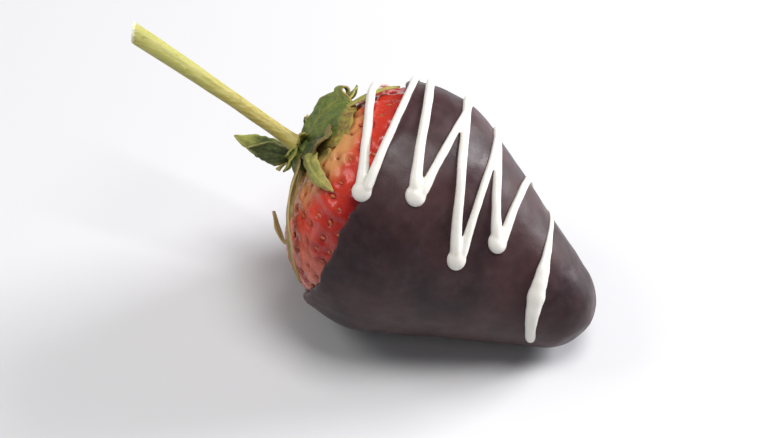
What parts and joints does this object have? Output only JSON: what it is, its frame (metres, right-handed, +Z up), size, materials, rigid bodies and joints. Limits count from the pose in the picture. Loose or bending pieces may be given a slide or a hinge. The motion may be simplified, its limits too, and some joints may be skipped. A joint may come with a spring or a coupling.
{
  "type": "chocolate coated strawberry",
  "caption": "Large strawberry with its leafy cap and long stalk, dipped in dark chocolate up to a slanting rim and drizzled with a white zigzag, lying on its side.",
  "frame": {"origin": "middle of the small flat spot of the chocolate on which the strawberry rests", "axes": "+Z up; +X the way the nose points, seen from above, with the stalk towards -X; +Y away from the side on which the drizzle's fat drops hang"},
  "size_m": [0.0792, 0.0394, 0.0408],
  "materials": {
    "berry_red": null,
    "dark_chocolate": null,
    "sepal_green": null,
    "stem_green": null,
    "white_chocolate": null
  },
  "bodies": {
    "root": {"berry": "berry_red", "chocolate_coat": "dark_chocolate", "calyx_hub": "sepal_green", "sepal_01": "sepal_green", "sepal_02": "sepal_green", "sepal_03": "sepal_green", "sepal_04": "sepal_green", "sepal_05": "sepal_green", "sepal_06": "sepal_green", "sepal_07": "sepal_green", "sepal_08": "sepal_green", "sepal_09": "sepal_green", "sepal_10": "sepal_green", "stem": "stem_green", "white_drizzle": "white_chocolate"}
  },
  "joints": []
}
